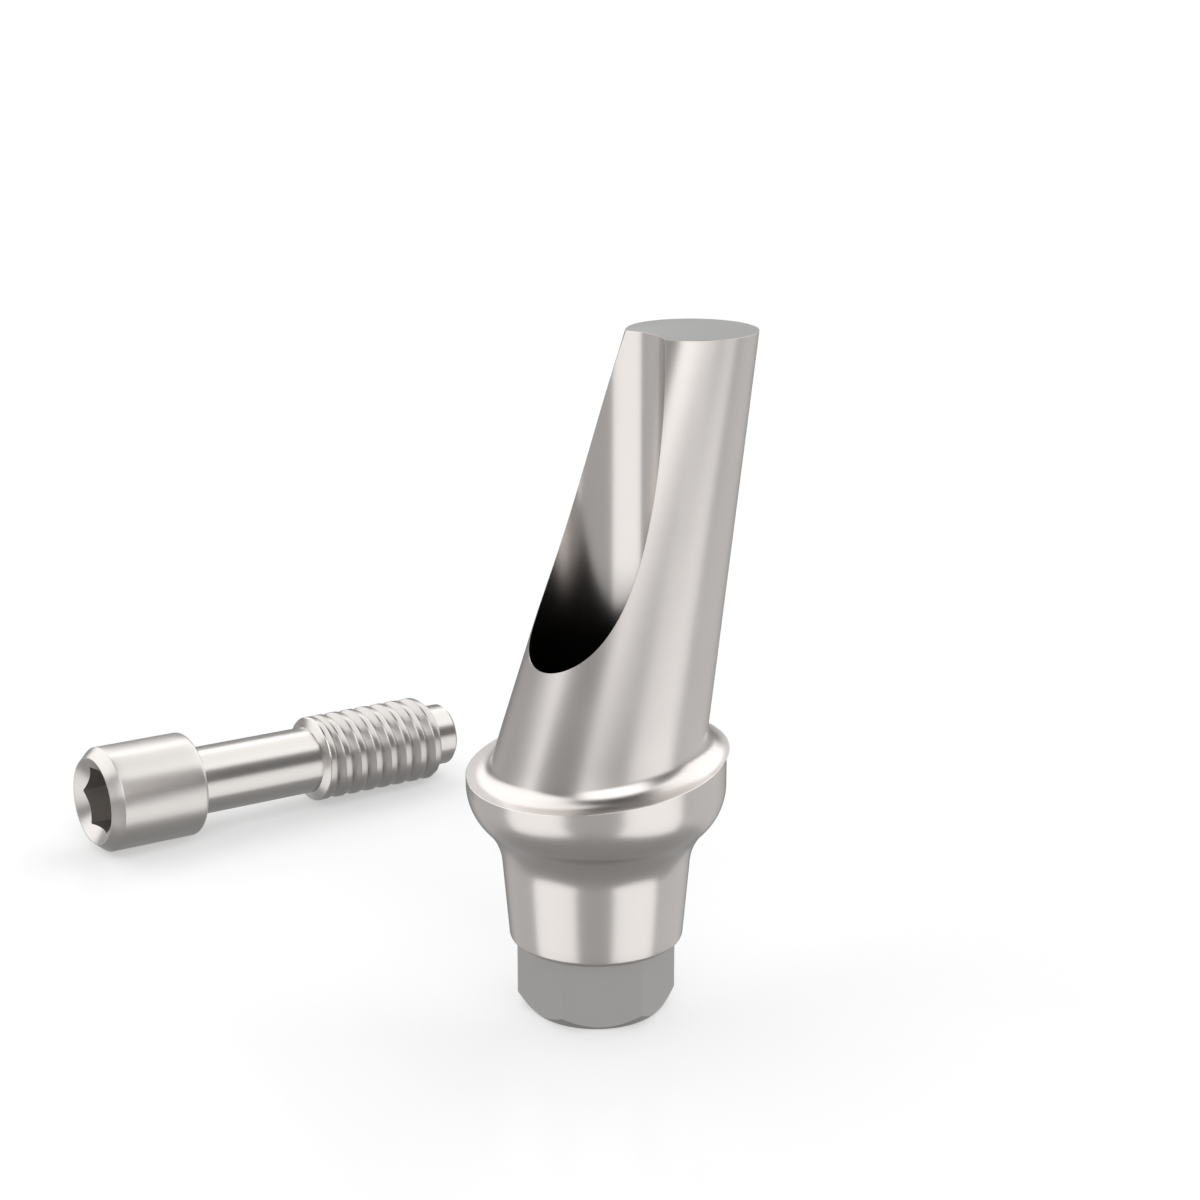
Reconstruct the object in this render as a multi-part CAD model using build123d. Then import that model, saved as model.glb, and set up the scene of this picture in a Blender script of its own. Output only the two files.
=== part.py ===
"""An angled dental abutment with the screw that fastens it to its implant.

The abutment is one turned and milled piece of titanium. It stands on its base face. Its
screw is taken out and lies on the same surface beside it. All sizes are in millimetres.

Frame: the origin is the centre of the base face, on the implant's axis. +Z runs up the
implant's axis, and +X is the direction that the post leans.
"""
import os
from math import asin, atan2, cos, degrees, hypot, radians, sin, sqrt, tan

from build123d import *

# Screw: the head and its driver socket
head_radius = 1.125
head_length = 2.185
head_bevel_length = 0.232
head_front_radius = 0.935
head_rear_rounding = 0.08
socket_across_flats = 1.27
socket_depth = 1.2
socket_tip_height = 0.18
countersink_radius = 0.915
countersink_angle = 110.0

# Screw: the shank, the thread and the plain pilot at its end
shank_radius = 0.735
shank_length = 2.955
thread_radius = 0.945
thread_depth = 0.165
thread_pitch = 0.39
thread_turns = 7
thread_crest_flat = 0.06
thread_crest_width = 0.15
thread_edge_break = 0.03
thread_flank_angle = 60.0
thread_lead_in = 0.165
thread_lead_out = 0.12
thread_run_past = 0.5
ridge_burial = 0.05
pilot_radius = 0.69
pilot_length = 0.565
pilot_chamfer = 0.07

# Clearances between the screw and the abutment that it holds
head_clearance = 0.06
thread_clearance = 0.04
seat_standoff = 0.045

# Implant connection: a hexagon at the foot under a tapered cone
hex_across_flats = 2.5
hex_height = 1.35
foot_face_radius = 1.19
foot_chamfer_angle = 45.0
bore_mouth_chamfer = 0.05
cone_foot_radius = 1.57
cone_half_angle = 5.0
cone_foot_rounding = 0.11

# Collar: a hollow neck, a rounded belly and a short upright wall
neck_round_radius = 1.2
collar_round_radius = 1.07
collar_radius = 2.34
emergence_height = 2.957
collar_wall_height = 0.387

# Shoulder: a plane that rises with the lean, and a cove that runs up into the post
margin_tilt = 6.4
shoulder_cove_radius = 0.36

# Post: level circles that shrink and drift sideways as they rise
post_lean = 15.0
post_lean_drop = 0.104
post_base_radius = 1.918
post_top_radius = 1.178
post_height = 7.596

# Where the screw lies: the centre of its head's front face, and the way that it points
screw_x = -4.56
screw_y = 12.10
screw_heading = 1.5

# How far a tool or a stock runs past the face that it cuts or joins
overrun = 1.0

# How near two sizes must be to count as the same when an edge is looked for
match_tolerance = 0.001

# Sizes that follow from the ones above
channel_radius = head_radius + head_clearance
lower_bore_radius = thread_radius + thread_clearance
seat_height = shank_length + seat_standoff
thread_root_radius = thread_radius - thread_depth
shank_end = head_length + shank_length
ring_centre = shank_end + thread_lead_in + thread_crest_flat / 2
last_crest = ring_centre + thread_turns * thread_pitch
thread_end = last_crest + thread_lead_out
screw_length = thread_end + pilot_length
collar_wall_start = hex_height + emergence_height
margin_height = collar_wall_start + collar_wall_height
post_lean_start = margin_height - post_lean_drop
post_top_height = margin_height + post_height

# Solids that grow upwards from the place where they are put
upwards = (Align.CENTER, Align.CENTER, Align.MIN)


def revolve_outline(outline, axis):
    """Turn a closed outline into a full solid of revolution."""
    return revolve(make_face(outline), axis=axis, revolution_arc=360)


def post_radius(height):
    """Radius of the post's level section at a height."""
    rise = (height - post_lean_start) / (post_top_height - post_lean_start)
    return post_base_radius + rise * (post_top_radius - post_base_radius)


def post_section(height):
    """Level circle of the leaning post at a height."""
    drift = (height - post_lean_start) * tan(radians(post_lean))
    return Pos(drift, 0, height) * Circle(post_radius(height))


def leaning_post(foot_height):
    """Solid post from inside the collar to its level top face."""
    return loft([post_section(foot_height), post_section(post_top_height)], ruled=True)


def margin_plane():
    """Plane of the margin, which is higher on the side that the post leans to."""
    tilt = radians(margin_tilt)
    return Plane(origin=(0, 0, margin_height), z_dir=(-sin(tilt), 0, cos(tilt)))


def neck_centre():
    """Centre (radius, height) of the neck's hollow arc, tangent to the cone and the belly."""
    slope = tan(radians(cone_half_angle))
    offset = neck_round_radius / cos(radians(cone_half_angle))
    belly_radius = collar_radius - collar_round_radius
    reach = collar_round_radius + neck_round_radius
    # The centre stands one arc radius off the cone's wall, and reach away from the belly's centre
    start = cone_foot_radius + offset + slope * (collar_wall_start - hex_height) - belly_radius
    a = 1 + slope**2
    b = -2 * slope * start
    c = start**2 - reach**2
    drop = (-b + sqrt(b**2 - 4 * a * c)) / (2 * a)
    return belly_radius + start - slope * drop, collar_wall_start - drop


def emergence_outline():
    """Half outline of the cone, the neck and the belly, up to the collar's wall."""
    neck_r, neck_z = neck_centre()
    belly_r = collar_radius - collar_round_radius
    belly_z = collar_wall_start
    lean = radians(cone_half_angle)
    cone_end = (neck_r - neck_round_radius * cos(lean), neck_z + neck_round_radius * sin(lean))
    share = neck_round_radius / (neck_round_radius + collar_round_radius)
    joint = (neck_r + share * (belly_r - neck_r), neck_z + share * (belly_z - neck_z))
    neck_turn = (lean + atan2(joint[1] - neck_z, neck_r - joint[0])) / 2
    neck_mid = (neck_r - neck_round_radius * cos(neck_turn), neck_z + neck_round_radius * sin(neck_turn))
    belly_turn = atan2(belly_z - joint[1], joint[0] - belly_r) / 2
    belly_mid = (
        belly_r + collar_round_radius * cos(belly_turn),
        belly_z - collar_round_radius * sin(belly_turn),
    )
    wall_foot = (collar_radius, collar_wall_start)
    to_xz = [(r, 0, z) for r, z in (cone_end, neck_mid, joint, belly_mid, wall_foot)]
    foot = (cone_foot_radius, 0, hex_height)
    return [
        Line((0, 0, hex_height), foot),
        Line(foot, to_xz[0]),
        ThreePointArc(*to_xz[:3]),
        ThreePointArc(*to_xz[2:]),
        Line(to_xz[4], (0, 0, collar_wall_start)),
        Line((0, 0, collar_wall_start), (0, 0, hex_height)),
    ]


def emergence_body():
    """Cone, neck and belly as one turned solid, with the cone's lower edge rounded."""
    body = revolve_outline(emergence_outline(), Axis.Z)
    lower_rim = body.edges().filter_by(GeomType.CIRCLE).sort_by(Axis.Z)[0]
    return fillet(lower_rim, cone_foot_rounding)


def hexagon_foot():
    """Hexagon that keys into the implant, its corners cut by a cone at the base face."""
    height = hex_height + cone_foot_rounding
    prism = extrude(RegularPolygon(hex_across_flats / 2, 6, major_radius=False, rotation=30), height)
    mouth_radius = foot_face_radius + height / tan(radians(foot_chamfer_angle))
    return prism & Cone(foot_face_radius, mouth_radius, height, align=upwards)


def coved_stock():
    """Wide collar stock under the margin's plane, joined to the post by its cove."""
    stock_radius = collar_radius + overrun
    stock_height = collar_wall_height + stock_radius
    stock = Pos(0, 0, collar_wall_start) * Cylinder(stock_radius, stock_height, align=upwards)
    stock = split(stock, bisect_by=margin_plane(), keep=Keep.BOTTOM)
    joined = stock + leaning_post(collar_wall_start)
    foot_line = [edge for edge in joined.edges() if lies_inside_margin(edge)]
    return fillet(foot_line, shoulder_cove_radius)


def lies_inside_margin(edge):
    """True for an edge in the margin's plane that runs round the post's foot."""
    place = margin_plane().to_local_coords(edge.center())
    return abs(place.Z) < match_tolerance and hypot(place.X, place.Y) < collar_radius


def shoulder_and_post():
    """Collar wall with its tilted shoulder, coved up into the leaning post."""
    height = collar_wall_height + collar_radius
    outside = Cylinder(collar_radius + 2 * overrun, height, align=upwards)
    inside = Cylinder(collar_radius, height, align=upwards)
    return coved_stock() - Pos(0, 0, collar_wall_start) * (outside - inside)


def screw_channel():
    """Bore for the screw: wide above its seat, narrower through the cone and hexagon."""
    wide = Pos(0, 0, seat_height) * Cylinder(channel_radius, post_top_height, align=upwards)
    narrow = Cylinder(lower_bore_radius, post_top_height, align=upwards)
    mouth = Cone(
        lower_bore_radius + bore_mouth_chamfer, lower_bore_radius, bore_mouth_chamfer, align=upwards
    )
    return wide + narrow + mouth


def abutment_body():
    """The whole abutment, cut from one piece."""
    body = emergence_body() + hexagon_foot() + shoulder_and_post()
    return body - screw_channel()


def head_outline():
    """Half outline of the screw's head, shank, root cylinder and pilot, along X."""
    points = [
        (0, 0),
        (0, head_front_radius),
        (head_bevel_length, head_radius),
        (head_length, head_radius),
        (head_length, shank_radius),
        (shank_end, shank_radius),
        (shank_end, thread_root_radius),
        (thread_end, thread_root_radius),
        (thread_end, pilot_radius),
        (screw_length - pilot_chamfer, pilot_radius),
        (screw_length, pilot_radius - pilot_chamfer),
        (screw_length, 0),
    ]
    return Polyline(*[(s, 0, r) for s, r in points], close=True)


def thread_envelope():
    """Space that the thread may fill: a cone at each end and a plain cylinder between."""
    points = [
        (shank_end, 0),
        (shank_end, shank_radius),
        (shank_end + thread_lead_in, thread_radius),
        (last_crest + thread_crest_flat / 2, thread_radius),
        (thread_end, thread_root_radius),
        (thread_end, 0),
    ]
    return revolve_outline(Polyline(*[(s, 0, r) for s, r in points], close=True), Axis.X)


def crest_half(foot_radius):
    """Half section of a crest as (distance from its middle, radius), down to a foot radius."""
    break_radius = thread_radius - thread_edge_break
    flank_run = (break_radius - foot_radius) * tan(radians(thread_flank_angle / 2))
    return [
        (thread_crest_flat / 2, thread_radius),
        (thread_crest_width / 2, break_radius),
        (thread_crest_width / 2 + flank_run, foot_radius),
    ]


def ridge_outline():
    """Section of the thread's ridge at +X, its foot buried in the root cylinder."""
    half = crest_half(thread_root_radius - ridge_burial)
    upper = [(r, 0, z) for z, r in half]
    lower = [(r, 0, -z) for z, r in reversed(half)]
    return Polyline(*upper, *lower, close=True)


def thread_ridge():
    """Helical ridge of the thread, from inside the first ring to past the last crest."""
    helix = Helix(thread_pitch, (thread_turns + thread_run_past) * thread_pitch, thread_radius)
    ridge = sweep(make_face(ridge_outline()), path=helix, is_frenet=True)
    # The helix climbs Z from +X, so it is turned to climb X from the screw's underside
    return Pos(ring_centre, 0, 0) * Rot(0, 90, 0) * ridge


def first_ring():
    """Plain collar at the top of the thread, which the ridge grows out of."""
    far_side = [(ring_centre + run, r) for run, r in crest_half(thread_root_radius)]
    points = [
        (shank_end, 0),
        (shank_end, shank_radius),
        (shank_end + thread_lead_in, thread_radius),
        *far_side,
        (far_side[-1][0], 0),
    ]
    return revolve_outline(Polyline(*[(s, 0, r) for s, r in points], close=True), Axis.X)


def driver_socket():
    """Hexagonal socket with a conical mouth and a drilled bottom, its corners level."""
    apothem = socket_across_flats / 2
    hexagon = extrude(RegularPolygon(apothem, 6, major_radius=False, rotation=30), socket_depth)
    mouth_depth = countersink_radius / tan(radians(countersink_angle / 2))
    mouth = Cone(countersink_radius, 0, mouth_depth, align=upwards)
    drill_tip = Pos(0, 0, socket_depth) * Cone(apothem, 0, socket_tip_height, align=upwards)
    return Rot(0, 90, 0) * (hexagon + mouth + drill_tip)


def screw_along_x():
    """The screw with its front face at the origin and its tip along +X."""
    core = revolve_outline(head_outline(), Axis.X)
    rims = core.edges().filter_by(GeomType.CIRCLE).sort_by(lambda rim: rim.arc_center.X)
    rear_rim = [rim for rim in rims if abs(rim.radius - head_radius) < match_tolerance][-1]
    core = fillet(rear_rim, head_rear_rounding)
    thread = thread_ridge() & thread_envelope()
    return core + first_ring() + thread - driver_socket()


def resting_place():
    """Place on the surface where the head's rear rim and the last crest both touch it."""
    rim_s = head_length - head_rear_rounding
    rim_r = head_radius - head_rear_rounding
    run = last_crest + thread_crest_flat / 2 - rim_s
    fall = rim_r - thread_radius
    nose_down = atan2(fall, run) + asin(head_rear_rounding / hypot(run, fall))
    front_height = head_rear_rounding + rim_s * sin(nose_down) + rim_r * cos(nose_down)
    turn = Rot(0, 0, screw_heading) * Rot(0, degrees(nose_down), 0)
    return Pos(screw_x, screw_y, front_height) * turn


def abutment_screw():
    """The screw, lying beside the abutment."""
    return resting_place() * screw_along_x()


def main():
    """Write one STEP file for each piece."""
    os.makedirs("parts", exist_ok=True)
    pieces = {"abutment_body": abutment_body(), "abutment_screw": abutment_screw()}
    for name, piece in pieces.items():
        export_step(piece, f"parts/{name}.step")


if __name__ == "__main__":
    main()
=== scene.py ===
"""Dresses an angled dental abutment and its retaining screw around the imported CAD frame.

Both pieces are turned, milled and polished titanium. Each is modelled again as a fine mesh on
the sizes of its CAD node, with the small edge breaks that catch the light, because polished
metal shows every facet. Sizes are in millimetres and a finished mesh is scaled to metres.
"""

import logging
from dataclasses import dataclass
from enum import Enum
from functools import partial
from math import acos, asin, atan2, ceil, cos, degrees, hypot, pi, radians, sin, sqrt, tan
from typing import Any, Callable, Sequence

import bmesh
import bpy
from mathutils import Matrix, Vector


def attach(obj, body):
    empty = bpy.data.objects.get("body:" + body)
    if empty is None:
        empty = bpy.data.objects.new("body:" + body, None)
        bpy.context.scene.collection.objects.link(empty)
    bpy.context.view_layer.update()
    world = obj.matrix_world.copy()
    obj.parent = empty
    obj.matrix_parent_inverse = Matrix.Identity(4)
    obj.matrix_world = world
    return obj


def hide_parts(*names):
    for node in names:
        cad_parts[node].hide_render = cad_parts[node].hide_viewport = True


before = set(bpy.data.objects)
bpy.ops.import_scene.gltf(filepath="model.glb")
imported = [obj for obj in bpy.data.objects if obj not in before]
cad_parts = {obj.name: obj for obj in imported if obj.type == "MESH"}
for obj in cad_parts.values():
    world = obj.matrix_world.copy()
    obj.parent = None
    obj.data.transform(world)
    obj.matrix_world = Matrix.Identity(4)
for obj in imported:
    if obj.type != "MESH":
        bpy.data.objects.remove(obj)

MM = 0.001
UP = Vector((0.0, 0.0, 1.0))
CENTRE = Vector((0.0, 0.0, 0.0))
WELD = 0.00002
SHARP_ANGLE = radians(21.0)
SLIVER_SIDES = 3

Point2 = tuple[float, float]
Colour = tuple[float, float, float]
Rule = Callable[[int], Vector]
Row = Callable[[float], Point2]

log = logging.getLogger("abutment")


class Region(Enum):
    """Parts of the surface that are finished in their own way."""

    TURNED = 0
    MILLED = 1
    HEXAGON = 2
    BORE = 3
    THREAD = 4
    FACED = 5
    HEAD = 6
    COVE = 7


class Side(Enum):
    """The two sides of a thread's crest; the value is the way along the screw's axis."""

    HEAD = -1
    TIP = 1


# Meshes


def about_axis(radius: float, height: float, azimuth: float) -> Vector:
    """The point at a radius and a height, turned about Z from +X by an azimuth in radians."""
    return Vector((radius * cos(azimuth), radius * sin(azimuth), height))


def arc(centre: Point2, radius: float, start: float, end: float, steps: int) -> list[Point2]:
    """Points of an arc in an outline; its two angles are in degrees, from outwards towards up."""
    angles = [radians(start + (end - start) * i / steps) for i in range(steps + 1)]
    return [(centre[0] + radius * cos(a), centre[1] + radius * sin(a)) for a in angles]


def rounded(
    before: Point2, corner: Point2, after: Point2, radius: float, steps: int
) -> list[Point2]:
    """Points that round one corner of an outline.

    Args:
        before: A point on the line that comes into the corner.
        corner: The corner itself.
        after: A point on the line that leaves the corner.
        radius: Radius of the rounding.
        steps: Number of chords.

    Returns:
        The arc's points, from the line that comes in to the line that leaves.
    """
    tip, back, ahead = (Vector(p) for p in (corner, before, after))
    into, away = (back - tip).normalized(), (ahead - tip).normalized()
    half = into.angle(away) / 2
    middle = tip + (into + away).normalized() * (radius / sin(half))
    first = tip + into * (radius / tan(half)) - middle
    last = tip + away * (radius / tan(half)) - middle
    return [tuple(middle + first.slerp(last, i / steps) * radius) for i in range(steps + 1)]


def divided(outline: Sequence[Point2], longest: float = 0.2) -> list[Point2]:
    """Divide the long runs of an outline, so that no face is a long sliver.

    Args:
        outline: The outline's (radius, height) points.
        longest: The longest run that stays whole.

    Returns:
        The outline with the points added.
    """
    points = [outline[0]]
    for start, end in zip(outline, outline[1:]):
        first, last = Vector(start), Vector(end)
        parts = ceil((last - first).length / longest) or 1
        points += [tuple(first.lerp(last, i / parts)) for i in range(1, parts + 1)]
    return points


def hexagon_radius(apothem: float, azimuth: float) -> float:
    """Distance from a hexagon's centre to its outline; flats face 0 degrees and every 60."""
    sixth = pi / 3
    return apothem / cos((azimuth + sixth / 2) % sixth - sixth / 2)


class Skin:
    """A surface grown row by row: each row is the last one, extruded and placed by a rule."""

    def __init__(self, bm: bmesh.types.BMesh, count: int, rule: Rule) -> None:
        """Lay the first row.

        Args:
            bm: The mesh to grow in.
            count: Number of points in the row.
            rule: Gives the place of each point from its number.
        """
        layers = bm.verts.layers.int
        self.bm = bm
        self.number = layers.get("number") or layers.new("number")
        known = set(bm.verts)
        seed = bm.verts.new((1.0, 0.0, 0.0))
        bmesh.ops.spin(bm, geom=[seed], cent=CENTRE, axis=UP, angle=pi / 2, steps=count - 1)
        row = [vert for vert in bm.verts if vert not in known]
        self.front = list({edge for vert in row for edge in vert.link_edges})
        for index, vert in enumerate(row):
            vert[self.number] = index
            vert.co = rule(index)

    def grow(self, rule: Rule, region: Region) -> None:
        """Extrude the front row and place the new one.

        Args:
            rule: Gives the place of each point from its number.
            region: Finish of the new faces.
        """
        made = bmesh.ops.extrude_edge_only(self.bm, edges=self.front)["geom"]
        self.front = [item for item in made if isinstance(item, bmesh.types.BMEdge)]
        for item in made:
            if isinstance(item, bmesh.types.BMVert):
                item.co = rule(item[self.number])
            elif isinstance(item, bmesh.types.BMFace):
                item.material_index = region.value

    def keep_to(self, last: int) -> None:
        """Go on with the points up to a number only."""
        self.front = [e for e in self.front if max(v[self.number] for v in e.verts) <= last]


def spin_outline(
    bm: bmesh.types.BMesh, outline: Sequence[Point2], turn: float, steps: int, region: Region
) -> None:
    """Turn an outline about Z.

    Args:
        bm: The mesh to add to.
        outline: The outline's (radius, height) points.
        turn: How far to turn it, in radians, starting at +X.
        steps: Number of steps.
        region: Finish of the new faces.
    """
    known = set(bm.faces)
    verts = [bm.verts.new((radius, 0.0, height)) for radius, height in outline]
    edges = [bm.edges.new(pair) for pair in zip(verts, verts[1:])]
    bmesh.ops.spin(bm, geom=verts + edges, cent=CENTRE, axis=UP, angle=turn, steps=steps)
    for face in bm.faces:
        if face not in known:
            face.material_index = region.value


def add_object(name: str, data: bpy.types.ID) -> bpy.types.Object:
    """Make an object at the origin and show it in the scene.

    Args:
        name: Name of the object.
        data: Its mesh, lamp or camera.

    Returns:
        The object.
    """
    made = bpy.data.objects.new(name, data)
    bpy.context.scene.collection.objects.link(made)
    return made


def as_object(bm: bmesh.types.BMesh, name: str) -> bpy.types.Object:
    """Make an object of a mesh.

    Args:
        bm: The mesh. It is freed.
        name: Name of the object.

    Returns:
        The object.
    """
    mesh = bpy.data.meshes.new(name)
    bm.to_mesh(mesh)
    bm.free()
    return add_object(name, mesh)


def finish_mesh(bm: bmesh.types.BMesh, name: str, place: Matrix | None = None) -> bpy.types.Object:
    """Weld a mesh, mark its crisp edges, put it in place and make it an object in metres.

    Args:
        bm: The mesh, in millimetres. It is freed.
        name: Name of the object.
        place: Where the mesh goes, if it isn't there yet.

    Returns:
        The object, which sits at the origin.
    """
    bmesh.ops.remove_doubles(bm, verts=bm.verts, dist=WELD)
    bmesh.ops.dissolve_degenerate(bm, edges=bm.edges, dist=WELD)
    bmesh.ops.holes_fill(bm, edges=bm.edges, sides=SLIVER_SIDES)
    bmesh.ops.recalc_face_normals(bm, faces=bm.faces)
    for face in bm.faces:
        face.smooth = True
    for edge in bm.edges:
        edge.smooth = edge.calc_face_angle(0.0) < SHARP_ANGLE
    loose = [edge for edge in bm.edges if len(edge.link_faces) != 2]
    log.info("%s: %d faces, %d open edges", name, len(bm.faces), len(loose))
    bm.verts.layers.int.remove(bm.verts.layers.int["number"])
    bm.transform(Matrix.Scale(MM, 4) @ (place or Matrix.Identity(4)))
    piece = as_object(bm, name)
    shading = piece.modifiers.new("even_shading", "WEIGHTED_NORMAL")
    shading.mode = "FACE_AREA"
    shading.keep_sharp = True
    return piece


@dataclass(frozen=True)
class LeaningPost:
    """The post's outside: level circles that shrink and drift towards +X as they rise."""

    top_height: float = 12.29
    lean: float = 15.0
    lean_start: float = 4.59
    base_radius: float = 1.918
    top_radius: float = 1.178

    @property
    def drift_rate(self) -> float:
        """Sideways drift for each unit of rise."""
        return tan(radians(self.lean))

    @property
    def shrink_rate(self) -> float:
        """Loss of radius for each unit of rise."""
        return (self.base_radius - self.top_radius) / (self.top_height - self.lean_start)

    def circle(self, height: float) -> Point2:
        """Centre's drift and radius of the level circle at a height."""
        rise = height - self.lean_start
        return rise * self.drift_rate, self.base_radius - rise * self.shrink_rate

    def point(self, azimuth: float, height: float, inset: float = 0.0) -> Vector:
        """A point of the surface, or of the level circle that is smaller by an inset."""
        drift, radius = self.circle(height)
        return about_axis(radius - inset, height, azimuth) + Vector((drift, 0.0, 0.0))

    def normal(self, azimuth: float) -> Vector:
        """Outward normal, the same all along the straight line at an azimuth."""
        up = self.shrink_rate - self.drift_rate * cos(azimuth)
        return Vector((cos(azimuth), sin(azimuth), up)).normalized()

    def opening_azimuth(self, height: float, bore: float, inset: float = 0.0) -> float:
        """Azimuth at which the level circle meets a bore about the implant's axis.

        Args:
            height: Height of the circle.
            bore: Radius of the bore.
            inset: How much smaller the circle is.

        Returns:
            The azimuth about the circle's own centre, in radians.
        """
        drift, radius = self.circle(height)
        radius -= inset
        return acos(max(-1.0, (bore**2 - drift**2 - radius**2) / (2 * drift * radius)))

    def bore_azimuth(self, height: float, bore: float, inset: float) -> float:
        """Azimuth of the same meeting point about the bore's axis."""
        drift, radius = self.circle(height)
        return acos(max(-1.0, (bore**2 - (radius - inset) ** 2 + drift**2) / (2 * drift * bore)))

    def opening_height(self, azimuth: float, bore: float) -> float:
        """Height at which the straight line at an azimuth first enters the bore.

        Args:
            azimuth: Azimuth of the line, in radians.
            bore: Radius of the bore.

        Returns:
            The height.
        """
        drift, shrink, side = self.drift_rate, self.shrink_rate, cos(azimuth)
        a = drift**2 + shrink**2 - 2 * drift * shrink * side
        b = 2 * self.base_radius * (drift * side - shrink)
        c = self.base_radius**2 - bore**2
        return self.lean_start + (-b - sqrt(max(0.0, b**2 - 4 * a * c))) / (2 * a)


@dataclass(frozen=True)
class Abutment:
    """The abutment: hexagon foot, tapered cone, hollow neck, collar, coved shoulder, open post.

    One half is modelled, from +X through +Y to -X, and mirrored.
    """

    post: LeaningPost = LeaningPost()
    hex_across_flats: float = 2.5
    hex_height: float = 1.35
    foot_face_radius: float = 1.19
    lower_bore_radius: float = 0.985
    bore_mouth_chamfer: float = 0.05
    channel_radius: float = 1.185
    seat_height: float = 3.0
    cone_foot_radius: float = 1.57
    cone_half_angle: float = 5.0
    cone_foot_rounding: float = 0.11
    neck_round_radius: float = 1.2
    collar_round_radius: float = 1.07
    collar_radius: float = 2.34
    collar_wall_start: float = 4.307
    margin_height: float = 4.694
    margin_tilt: float = 6.4
    cove_radius: float = 0.36
    edge_break: float = 0.008
    top_break: float = 0.003
    respaced_below: float = 1.0
    columns: int = 144
    tip_columns: int = 32
    hexagon_rows: int = 4
    foot_chords: int = 8
    neck_chords: int = 22
    belly_chords: int = 24
    cove_rows: int = 16
    post_rows: int = 8
    wall_rows: int = 10
    opening_rows: int = 60

    @property
    def side_columns(self) -> int:
        """Number of the column where the opening's round lower end meets its long side."""
        return self.columns - self.tip_columns

    @property
    def side_start(self) -> float:
        """Height of that place on the post's outside."""
        return self.edge_height(self.side_columns)

    @property
    def rim_bore(self) -> float:
        """Radius at which the broken edge of the opening leaves the post's outside."""
        return self.channel_radius + self.edge_break

    @property
    def rim_top(self) -> float:
        """Height at which the top's broken edge begins."""
        return self.post.top_height - self.top_break

    @property
    def margin_normal(self) -> Vector:
        """Upward normal of the margin's plane."""
        tilt = radians(self.margin_tilt)
        return Vector((-sin(tilt), 0.0, cos(tilt)))

    def azimuth(self, column: int) -> float:
        """Azimuth of a column, in radians."""
        return pi * column / self.columns

    def edge_height(self, column: int) -> float:
        """Height where a column's lower part ends: level, then along the opening's lower end."""
        azimuth = self.azimuth(max(column, self.side_columns))
        return self.post.opening_height(azimuth, self.rim_bore)

    def side_height(self, row: int) -> float:
        """Height of a level row beside the opening's long sides."""
        return self.side_start + (self.rim_top - self.side_start) * row / self.opening_rows

    def ring_point(self, column: int, radius: float, height: float) -> Vector:
        """A point of a level circle about the implant's axis."""
        return about_axis(radius, height, self.azimuth(column))

    def build(self) -> bpy.types.Object:
        """Model the whole abutment.

        Returns:
            The finished piece.
        """
        bm = bmesh.new()
        self.turn_emergence(bm)
        self.turn_bore(bm)
        self.mill_hexagon(bm)
        self.mill_post(bm)
        self.drill_channel(bm)
        self.break_opening_edge(bm)
        self.face_top(bm)
        bmesh.ops.remove_doubles(bm, verts=bm.verts, dist=WELD)
        bmesh.ops.mirror(bm, geom=bm.verts[:] + bm.edges[:] + bm.faces[:], axis="Y", merge_dist=WELD)
        return finish_mesh(bm, "abutment")

    def cone_foot(self) -> list[Point2]:
        """Round the lower edge of the cone.

        Returns:
            The (radius, height) points, from the hexagon outwards.
        """
        corner = (self.cone_foot_radius, self.hex_height)
        lean = radians(self.cone_half_angle)
        inside = (0.0, self.hex_height)
        above = (corner[0] + sin(lean), corner[1] + cos(lean))
        return rounded(inside, corner, above, self.cone_foot_rounding, self.foot_chords)

    def turn_emergence(self, bm: bmesh.types.BMesh) -> None:
        """Turn the cone, the neck, the belly and the collar's wall, cut off at the margin.

        Args:
            bm: The mesh to add to.
        """
        lean = radians(self.cone_half_angle)
        belly = (self.collar_radius - self.collar_round_radius, self.collar_wall_start)
        reach = self.collar_round_radius + self.neck_round_radius
        offset = self.cone_foot_radius + self.neck_round_radius / cos(lean) - belly[0]
        start = offset + tan(lean) * (self.collar_wall_start - self.hex_height)
        a, b, c = 1 + tan(lean) ** 2, -2 * tan(lean) * start, start**2 - reach**2
        drop = (-b + sqrt(b**2 - 4 * a * c)) / (2 * a)
        neck = (belly[0] + start - tan(lean) * drop, self.collar_wall_start - drop)
        joint = degrees(atan2(belly[1] - neck[1], belly[0] - neck[0]))
        outline = self.cone_foot()
        flank = 180 - self.cone_half_angle
        outline += arc(neck, self.neck_round_radius, flank, joint, self.neck_chords)
        outline += arc(belly, self.collar_round_radius, joint - 180, 0, self.belly_chords)[1:]
        outline.append((self.collar_radius, self.margin_height + self.collar_radius))
        spin_outline(bm, divided(outline), pi, self.columns, Region.TURNED)
        bmesh.ops.bisect_plane(
            bm,
            geom=bm.verts[:] + bm.edges[:] + bm.faces[:],
            dist=WELD,
            plane_co=(0.0, 0.0, self.margin_height - self.edge_break),
            plane_no=self.margin_normal,
            clear_outer=True,
        )

    def turn_bore(self, bm: bmesh.types.BMesh) -> None:
        """Turn the seat, the lower bore, its mouth and the base face.

        Args:
            bm: The mesh to add to.
        """
        bore, mouth = self.lower_bore_radius, self.bore_mouth_chamfer
        seat_edge = self.edge_break
        outline = [
            (self.channel_radius, self.seat_height),
            (bore + seat_edge, self.seat_height),
            (bore, self.seat_height - seat_edge),
            (bore, mouth),
            (bore + mouth, 0.0),
            (self.foot_face_radius, 0.0),
        ]
        spin_outline(bm, divided(outline), pi, self.columns, Region.BORE)

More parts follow.
